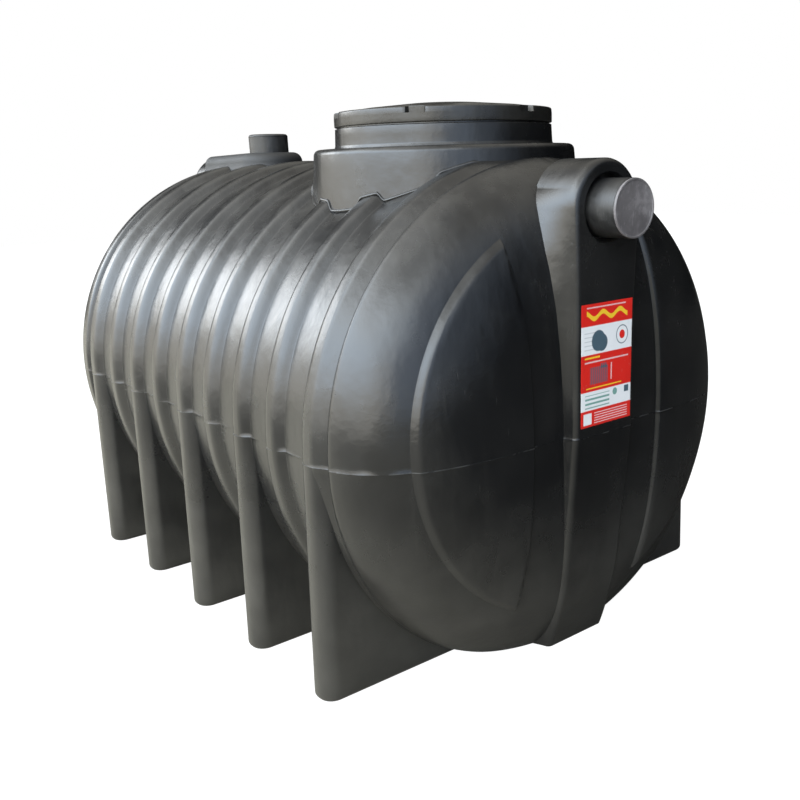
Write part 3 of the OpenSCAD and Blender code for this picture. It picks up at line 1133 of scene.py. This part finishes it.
@dataclass
class Column(SubAssembly):
    """The upright column on the middle of an end, with an arched top round its pipe."""

    dome: Dome
    pipe_z: float
    half_w: float = 0.090
    arch_extra: float = 0.005
    round_r: float = 0.013
    root_depth: float = 0.62
    root_arch_up: float = 0.459
    foot_proud: float = 0.037
    foot_spread: float = 0.0312
    even_lean: float = 0.56
    min_proud: float = 0.009
    pocket_r: float = 0.068
    pocket_deep: float = 0.024
    pocket_edge: float = 0.005
    arch_from: float = 1.5
    arch_ease: float = 0.2
    root_ease: float = 0.05
    lift_ease: float = 0.3
    spread_power: float = 0.7
    flank: float = 0.55
    bend: float = 0.85
    root: tuple[Point, ...] = (
        (0.0, 0.19), (0.4, 0.31), (0.53, 0.31), (0.665, 0.27), (0.763, 0.22), (0.872, 0.16), (0.95, 0.11)
    )

    def face_at(self, z: float) -> float:
        """Gives how far out the column's face lies.

        Args:
            z: Height.

        Returns:
            The distance from the tank's middle.
        """
        at = self.layout
        if z >= at.axis_z:
            return at.face_x
        t = 1 - z / at.axis_z
        edge = self.dome.x_at(math.hypot(self.half_w, at.axis_z * t))
        foot = self.dome.x_at(math.hypot(self.half_w, at.axis_z)) + self.foot_proud
        return max(mix(at.face_x, foot, mix(t ** 4, t, self.even_lean)), edge + self.min_proud)

    def spread_at(self, z: float) -> float:
        """Gives how far the column's root reaches out sideways past its face.

        Args:
            z: Height.

        Returns:
            The reach on each side.
        """
        at = self.layout
        share = (z - at.axis_z) / at.crown_r
        if share <= 0:
            return self.foot_spread
        for (s0, w0), (s1, w1) in zip(self.root, self.root[1:]):
            if share <= s1 and share < self.root[-1][0]:
                return max(mix(w0, w1, (share - s0) / (s1 - s0)) * at.crown_r - self.half_w, 0.0)
        return 0.0

    def build(self) -> None:
        """Makes the column's skin in two halves."""
        at = self.layout
        turn_z = self.pipe_z
        radius = self.half_w + self.arch_extra
        back = at.last_rib_x + self.root_depth * at.end_reach
        reach = turn_z + math.pi / 2 * radius
        lift = turn_z - (at.axis_z + self.root_arch_up)

        def place(s: float, v: float) -> Vector:
            """Places a point of the skin.

            Args:
                s: Place on the path up one side, over the arch and down, from -1 to 1.
                v: Place on the profile, from 0 at the root to 1 in the middle.

            Returns:
                The point.
            """
            way = math.copysign(1.0, s)
            run = (1 - abs(s)) * reach
            angle = max(run - turn_z, 0.0) / radius
            low = min(run, turn_z)
            grown = smooth((low - at.axis_z * self.arch_from) / self.arch_ease)
            wide = radius if angle else self.half_w + self.arch_extra * grown
            centre, out = Vector((0.0, low)), Vector((way * math.cos(angle), math.sin(angle)))
            z = low + wide * math.sin(angle)
            face = self.face_at(z)
            above = z - at.axis_z
            root_x = mix(face - self.half_w, back, smooth(above / self.root_ease))
            spread = self.spread_at(min(z, turn_z + radius) - lift * smooth(above / self.lift_ease))
            spread *= max(math.cos(angle), 0.0) ** self.spread_power
            return self._profile(v, face, root_x, spread, wide, centre, out)

        fine = 1 - (turn_z - self.pocket_r - 0.01) / reach
        half = [fine * t for t in even_steps(84)[:-1]] + [mix(fine, 1.0, t) for t in even_steps(90)]
        profile = even_steps(14)[:12] + [mix(self.bend, 1.0, t) for t in even_steps(26)]
        bm = MeshMaker.grid([-t for t in reversed(half)] + half[1:], profile, place)
        foot = [v for v in bm.verts if v.co.z < MERGE]
        bm.edges.new([min(foot, key=lambda v: v.co.y), max(foot, key=lambda v: v.co.y)])
        rim = [e for e in bm.edges if all(v.co.z < MERGE for v in e.verts)]
        bmesh.ops.edgeloop_fill(bm, edges=rim)
        MeshMaker.face_out(bm, Vector((self.dome.way * back, 0, at.axis_z)))
        self.halves(bm, f"{self.dome.name}_column")

    def _profile(self, v: float, face: float, root_x: float, spread: float, wide: float,
                 centre: Vector, out: Vector) -> Vector:
        """Cuts through the column from its root to its middle.

        Args:
            v: Share of the way.
            face: How far out the face lies.
            root_x: How far out the root lies.
            spread: How far the root reaches past the flank.
            wide: Half width of the flanks.
            centre: Middle of the cut (y, z).
            out: Direction (y, z) from the middle to the flank.

        Returns:
            The point there.
        """
        flank, bend = self.flank, self.bend
        if v <= flank:
            t = v / flank
            x = mix(root_x, face - self.round_r, t)
            off = wide + spread * (1 - t)
        elif v <= bend:
            a = (v - flank) / (bend - flank) * math.pi / 2
            x = face - self.round_r * (1 - math.sin(a))
            off = wide - self.round_r * (1 - math.cos(a))
        else:
            x = face
            off = (wide - self.round_r) * (1 - (v - bend) / (1 - bend))
        spot = centre + out * off
        if v > bend:
            from_pipe = math.hypot(spot.x, spot.y - self.pipe_z)
            x -= self.pocket_deep * smooth((self.pocket_r - from_pipe) / self.pocket_edge)
        return Vector((self.dome.way * x, spot.x, spot.y))


# ---------------- manhole and vent


@dataclass
class Manhole(SubAssembly):
    """The collar, the neck and the lid on top."""

    notch_count: int = 6
    notch_w: float = 0.046
    notch_h: float = 0.012
    notch_in: float = 0.013
    notch_turn: float = math.radians(8)
    collar_foot: float = 0.78
    collar_draft: float = 0.013
    bead_r: float = 0.0038
    lid_rise: float = 0.018
    turns: int = 360

    def build(self) -> None:
        """Makes the three pieces and the bead at the foot of the collar."""
        low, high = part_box("manhole_neck")
        centre = Vector(((low.x + high.x) / 2, (low.y + high.y) / 2, 0))
        self._collar(centre)
        self._neck(centre)
        self._lid(centre)

    def _collar(self, centre: Vector) -> None:
        """Makes the collar round the neck, and the bead where it grows out of the ribs.

        Args:
            centre: Foot of the manhole's axis.
        """
        at = self.layout
        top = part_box("manhole_collar")[1].z
        radius = half_span("manhole_collar")
        start = at.axis_z + self.collar_foot * at.crown_r
        draft = self.collar_draft / (top - start)
        raw = [(start, radius + self.collar_draft), (top, radius), (top, half_span("manhole_neck") - 0.004)]
        self.shell(MeshMaker.lathed(raw, [0.014], centre, UP, self.turns, 0.03, 7), "manhole_collar")

        def place(u: float, v: float) -> Vector:
            """Places a point of the bead.

            Args:
                u: Share of the way round the collar.
                v: Share of the way round the bead.

            Returns:
                The point.
            """
            a, b = 2 * math.pi * u, 2 * math.pi * v
            out = Vector((math.cos(a), math.sin(a), 0))
            spot = centre + out * (radius + self.collar_draft * 0.6)
            x = min(max(spot.x, -at.seam_x), at.seam_x)
            spot.z = at.axis_z + math.sqrt(max(at.barrel_radius(x) ** 2 - spot.y ** 2, 0))
            spot += out * (radius + draft * (top - spot.z) - (spot - centre).to_2d().length)
            return spot + self.bead_r * (out * math.cos(b) + UP * math.sin(b))

        bead = MeshMaker.grid(even_steps(360), even_steps(8), place)
        MeshMaker.piece(bead, "manhole_collar_bead", [], "shell", self.finishes.shell, 80)

    def _neck(self, centre: Vector) -> None:
        """Makes the neck, with the shadow gap under the lid.

        Args:
            centre: Foot of the manhole's axis.
        """
        low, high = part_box("manhole_neck")
        foot, top = half_span("manhole_neck"), half_span("manhole_lid")
        raw = [
            (low.z - 0.002, foot), (low.z + 0.006, foot - 0.004), (high.z - 0.004, top - 0.001),
            (high.z - 0.003, top - 0.006), (high.z + 0.001, top - 0.006),
        ]
        neck = MeshMaker.lathed(raw, [0.006, 0.001, 0.0005], centre, UP, self.turns, 0.02, 3)
        self.shell(neck, "manhole_neck")

    def _lid(self, centre: Vector) -> None:
        """Makes the lid with its finger notches and its low crown.

        Args:
            centre: Foot of the manhole's axis.
        """
        low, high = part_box("manhole_lid")
        radius = half_span("manhole_lid")
        rim = high.z - self.lid_rise
        ledge = rim - self.notch_h
        raw = [
            (low.z, radius - 0.008), (low.z, radius), (ledge - 0.0004, radius), (ledge, radius),
            (rim, radius - 0.001), (rim + 0.001, radius - 0.014), (rim - 0.002, radius - 0.024),
            (rim + 0.006, radius * 0.78), (high.z - 0.002, radius * 0.35), (high.z, 0.0),
        ]
        radii = [0.002, 0, 0, 0.004, 0.004, 0.006, 0.05, 0.2]
        bm = MeshMaker.lathed(raw, radii, centre, UP, self.turns, 0.012)
        half = self.notch_w / 2 / radius
        step = 2 * math.pi / self.notch_count
        for vert in bm.verts:
            arm = vert.co - centre
            off = abs((math.atan2(arm.y, arm.x) - self.notch_turn + step / 2) % step - step / 2)
            flat = math.hypot(arm.x, arm.y)
            inside = smooth((half - off) / (half * 0.22)) * (vert.co.z > ledge - 0.0001)
            if inside > 0 and flat > radius - self.notch_in - 0.004:
                share = mix(flat, min(flat, radius - self.notch_in), inside) / flat
                vert.co.x, vert.co.y = (centre + arm * share)[:2]
        MeshMaker.piece(bm, "manhole_lid_shell", ["manhole_lid"], "lid", self.finishes.lid, 35)


@dataclass
class Vent(SubAssembly):
    """The boss at the rear of the top, with its capped stub."""

    edge_r: float = 0.026
    corner_r: float = 0.03
    wall_h: float = 0.075
    wall_share: float = 0.35
    edge_share: float = 0.3
    flare: float = 0.020
    fall: float = 0.004
    turns: int = 96

    def build(self) -> None:
        """Makes the boss, the stub and the cap."""
        low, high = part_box("vent_boss")
        stub_low, stub_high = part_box("vent_stub")
        cap_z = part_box("vent_cap")[1].z
        axis_x = (stub_low.x + stub_high.x) / 2
        radius = half_span("vent_stub")
        half, corner = high.y, self.corner_r
        quarter = math.pi / 2 * half
        run = axis_x - low.x - corner
        total = quarter + run + math.pi / 2 * corner + half - corner
        edge_at = self.wall_share + self.edge_share

        def place(u: float, v: float) -> Vector:
            """Places a point of the boss.

            Args:
                u: Share of the way round it.
                v: Share of the way from its foot to the middle of its top.

            Returns:
                The point.
            """
            wall = smooth(v / self.wall_share)
            a = held((v - self.wall_share) / self.edge_share) * math.pi / 2
            inset = self.edge_r * (1 - math.cos(a))
            z = mix(high.z - self.wall_h, high.z - self.edge_r, wall) + self.edge_r * math.sin(a)
            size = half - inset + self.flare * (1 - wall) ** 1.5
            close = 1 - max((v - edge_at) / (1 - edge_at), 0.0)
            way, turn = (1, u * 2) if u < 0.5 else (-1, 2 - u * 2)
            s = turn * total
            if s < quarter:
                b = s / half
                spot = Vector((math.cos(b) * size, math.sin(b) * size))
            elif s < quarter + run:
                spot = Vector((quarter - s, size))
            elif s < total - half + corner:
                b = (s - quarter - run) / corner
                bend = corner - inset
                spot = Vector((-run - math.sin(b) * bend, size - bend * (1 - math.cos(b))))
            else:
                spot = Vector((-run - corner + inset, (total - s) / (half - corner) * (size - corner + inset)))
            slope = self.fall * held(-spot.x / run)
            return Vector((axis_x + spot.x * close, way * spot.y * close, z - slope))

        boss = MeshMaker.grid(even_steps(240), even_steps(24), place)
        MeshMaker.face_out(boss, Vector((axis_x - 0.1, 0, high.z - 0.06)))
        MeshMaker.piece(boss, "vent_boss_shell", ["vent_boss"], "shell", self.finishes.boss)
        foot = Vector((axis_x, 0, 0))
        raw = [(stub_low.z - 0.004, radius), (stub_low.z + 0.002, radius), (stub_high.z, radius)]
        stub = MeshMaker.lathed(raw, [0], foot, UP, self.turns, 0.01)
        MeshMaker.piece(stub, "vent_stub_tube", ["vent_stub"], "pipe", self.finishes.pipe)
        raw = [(stub_high.z, radius - 0.002), (stub_high.z, radius), (cap_z, radius), (cap_z, 0.0)]
        cap = MeshMaker.lathed(raw, [0.0006, 0.008], foot, UP, self.turns, 0.012)
        MeshMaker.piece(cap, "vent_cap_disc", ["vent_cap"], "pipe", self.finishes.pipe)


# ---------------- pipes and label


@dataclass
class PipeStub:
    """A capped pipe stub that stands out of a column."""

    finishes: Finishes
    name: str
    way: int
    sunk: float = 0.030
    turns: int = 128
    longest: float = 0.008

    def build(self) -> None:
        """Makes the tube and its cap."""
        low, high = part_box(f"{self.name}_stub")
        radius = half_span(f"{self.name}_stub", 1)
        foot = Vector((0, (low.y + high.y) / 2, (low.z + high.z) / 2))
        axis = Vector((self.way, 0, 0))
        near, far = sorted((abs(low.x), abs(high.x)))
        end = max(abs(corner.x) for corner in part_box(f"{self.name}_cap"))
        raw = [(near - self.sunk, radius), (far, radius)]
        tube = MeshMaker.lathed(raw, [], foot, axis, self.turns, self.longest)
        MeshMaker.piece(tube, f"{self.name}_stub_tube", [f"{self.name}_stub"], "pipe", self.finishes.pipe)
        raw = [
            (far, radius - 0.003), (far, radius - 0.0006), (end, radius), (end, radius - 0.004),
            (end - 0.0012, radius - 0.0055), (end - 0.0008, 0.0),
        ]
        cap = MeshMaker.lathed(raw, [0.0005, 0.0016, 0.001, 0.001], foot, axis, self.turns, self.longest, 4)
        MeshMaker.piece(cap, f"{self.name}_cap_disc", [f"{self.name}_cap"], "cap", self.finishes.cap, 60)


@dataclass
class Label:
    """A generic printed label on the front column's face."""

    layout: Layout
    half_w: float = 0.0766
    foot_up: float = 0.022
    height: float = 0.2535
    thick: float = 0.0004
    ripple: float = 0.00035

    def build(self) -> None:
        """Makes the label as a thin sheet with a slight ripple."""
        at = self.layout
        low = Vector((at.face_x, -self.half_w, at.axis_z + self.foot_up))
        high = Vector((at.face_x, self.half_w, low.z + self.height))

        def place(u: float, v: float) -> Vector:
            """Places a point of the label.

            Args:
                u: Share of the way across.
                v: Share of the way up.

            Returns:
                The point.
            """
            spot = Vector((at.face_x, mix(low.y, high.y, u), mix(low.z, high.z, v)))
            edge = min(u, 1 - u, v, 1 - v)
            spot.x += self.thick * smooth(edge * 60) + self.ripple * (0.5 + noise.noise(spot * 23))
            return spot

        steps = [0.0, 0.004, 0.008, 0.02, *even_steps(30)[1:-1], 0.98, 0.992, 0.996, 1.0]
        bm = MeshMaker.grid(steps, steps, place)
        MeshMaker.face_out(bm, UP * at.axis_z)
        MeshMaker.piece(bm, "front_label", [], "shell", LabelPrint("label_print", low, high).make())


# ---------------- studio


@dataclass(frozen=True)
class PaleFloor(Finish):
    """A floor that looks white, and lights the tank from below near its front."""

    pale: Colour = (0.9, 0.9, 0.9)
    near: Colour = (0.76, 0.70, 0.57)
    far: Colour = (0.035, 0.033, 0.030)
    glow: float = 1.16
    glow_share: float = 0.82

    def paint(self, g: Graph) -> None:
        """Adds a glow for the camera and a tinted surface for light and reflections.

        Args:
            g: The material's empty node tree.
        """
        x, y, _ = g.parts()
        near = y.under(-1.6, 0.5) * (1 - (x - y * 0.4).over(0.6, 1.9) * 0.5)
        soft = g.node("BsdfDiffuse", {"Color": g.blend(near, self.far, self.near)})
        pale = g.node("BsdfDiffuse", {"Color": self.pale})
        glow = g.node("Emission", {"Color": (1.0, 1.0, 1.0), "Strength": self.glow})
        shown = g.node("MixShader", {0: self.glow_share, 1: pale.outputs[0], 2: glow.outputs[0]})
        both = g.node("MixShader", {0: g.seen(), 1: soft.outputs[0], 2: shown.outputs[0]})
        g.node("OutputMaterial", {"Surface": both.outputs[0]})


@dataclass(frozen=True)
class Studio:
    """Camera, lamp, floor and surroundings."""

    eye: Point3 = (2.0956, -1.4076, 1.0566)
    yaw: float = 39.98
    pitch: float = 16.79
    roll: float = -1.63
    focal: float = 921 / 800
    sensor: float = 36.0
    shift: Point = (-0.0929, 0.0524)
    lamp_place: Point3 = (-0.9, -1.6, 4.6)
    lamp_aim: Point3 = (0.0, 0.0, 0.7)
    lamp_size: float = 3.4
    lamp_watts: float = 20.0
    lamp_tint: Colour = (1.0, 0.99, 0.97)
    floor_size: float = 14.0
    opening: float = 2.9
    window: float = 4.5
    blaze: float = 7.5
    roof: float = 0.9
    ground: float = 0.5
    rear: float = 1.0
    front: float = 0.68
    hall: float = 0.05

    def build(self) -> None:
        """Sets up everything that isn't the tank."""
        self._camera()
        self._lamp()
        self._floor()
        self._world()

    def _camera(self) -> None:
        """Places the camera."""
        yaw, pitch, roll = (math.radians(a) for a in (self.yaw, self.pitch, self.roll))
        ahead = Vector((-math.cos(yaw) * math.cos(pitch), math.sin(yaw) * math.cos(pitch), -math.sin(pitch)))
        right = ahead.cross(UP).normalized()
        up = right.cross(ahead)
        side = math.cos(roll) * right + math.sin(roll) * up
        top = math.cos(roll) * up - math.sin(roll) * right
        data = bpy.data.cameras.new("camera")
        data.sensor_width = self.sensor
        data.lens = self.sensor * self.focal
        data.shift_x, data.shift_y = self.shift
        camera = new_object("camera", data)
        turn = Matrix((side, top, -ahead)).transposed().to_4x4()
        camera.matrix_world = Matrix.Translation(self.eye) @ turn
        bpy.context.scene.camera = camera

    def _lamp(self) -> None:
        """Adds a soft lamp over the tank."""
        data = bpy.data.lights.new("overhead", "AREA")
        data.shape = "RECTANGLE"
        data.size = data.size_y = self.lamp_size
        data.energy = self.lamp_watts
        data.color = self.lamp_tint
        place = Vector(self.lamp_place)
        turn = (Vector(self.lamp_aim) - place).to_track_quat("-Z", "Y").to_matrix().to_4x4()
        new_object("overhead", data).matrix_world = Matrix.Translation(place) @ turn

    def _floor(self) -> None:
        """Lays a plain pale floor."""
        bm = bmesh.new()
        bmesh.ops.create_grid(bm, x_segments=1, y_segments=1, size=self.floor_size)
        mesh = bpy.data.meshes.new("floor")
        bm.to_mesh(mesh)
        bm.free()
        floor = new_object("floor", mesh)
        mesh.materials.append(PaleFloor("floor_pale").make())

    def _world(self) -> None:
        """Makes surroundings with a wide bright opening on the left and a dim hall elsewhere."""
        world = bpy.data.worlds.new("surroundings")
        bpy.context.scene.world = world
        world.use_nodes = True
        g = Graph(world.node_tree)
        x, y, z = g.parts(g.node("TexCoord").outputs["Generated"])
        turn = g.math("ARCTAN2", y, x)
        wide = turn.over(-3.05, -2.1) * (turn + z * -0.55).under(-1.0, -0.72)
        window = turn.between(-3.0, -2.2, -1.35, -0.75) * z.between(0.02, 0.44, 0.6, 0.84)
        roof = z.over(0.35, 0.95)
        ground = z.under(-0.45, -0.05) * (y - x * 0.25).under(-0.9, 0.5)
        level = self.hall * (1 - y.over(-0.1, 0.6) * 0.9)
        for lobe, power in (
            (wide * z.between(-0.16, 0.02, 0.62, 0.92), self.opening),
            (window, self.window),
            (turn.between(-3.08, -2.88, -2.75, -2.5) * z.between(0.10, 0.26, 0.36, 0.52), self.blaze),
            (roof, self.roof),
            (ground, self.ground),
            (y.under(-0.25, -0.02) * z.over(-0.5, 0.0), self.rear),
            (x.over(0.1, 0.7) * y.under(0.15, 0.55) * z.under(0.7, 0.9), self.front),
        ):
            level = level + lobe * power
        tint = g.layered(
            (1.0, 0.95, 0.83),
            (z.over(0.02, 0.3) * y.under(-0.1, 0.3), (0.97, 1.0, 1.02)),
            (x.over(0.2, 0.8) * y.between(-0.75, -0.5, 0.3, 0.8), (0.80, 0.96, 1.20)),
            (window * 0.8 + wide * z.over(0.25, 0.6), (0.86, 1.0, 1.15)),
            (roof * 0.7, (1.0, 0.96, 0.86)),
            (ground, (1.0, 0.95, 0.80)),
        )
        seen = Wire(g, g.seen())
        colour = g.blend(seen, tint, (1.0, 1.0, 1.0))
        back = g.node("Background", {"Color": colour, "Strength": level * (1 - seen) + seen})
        g.node("OutputWorld", {"Surface": back.outputs[0]})


# ---------------- main


def main() -> None:
    """Builds the tank, dresses it and sets the studio."""
    logging.basicConfig(level=logging.INFO, format="%(message)s")
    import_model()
    layout = Layout.read()
    finishes = Finishes.make(layout.axis_z)
    Barrel(layout, finishes).build()
    for side in Side:
        for number in range(1, 6):
            Leg(layout, finishes, side, number).build()
    for dome, pipe in ((Dome(layout, full=2.31, way=1), "outlet"), (Dome(layout, full=4.4, way=-1), "inlet")):
        low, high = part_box(f"{pipe}_stub")
        End(layout, finishes, dome).build()
        Column(layout, finishes, dome, (low.z + high.z) / 2).build()
        PipeStub(finishes, pipe, dome.way).build()
    Manhole(layout, finishes).build()
    Vent(layout, finishes).build()
    Label(layout).build()
    Studio().build()
    bpy.context.scene.view_settings.view_transform = "Standard"


if __name__ == "__main__":
    main()
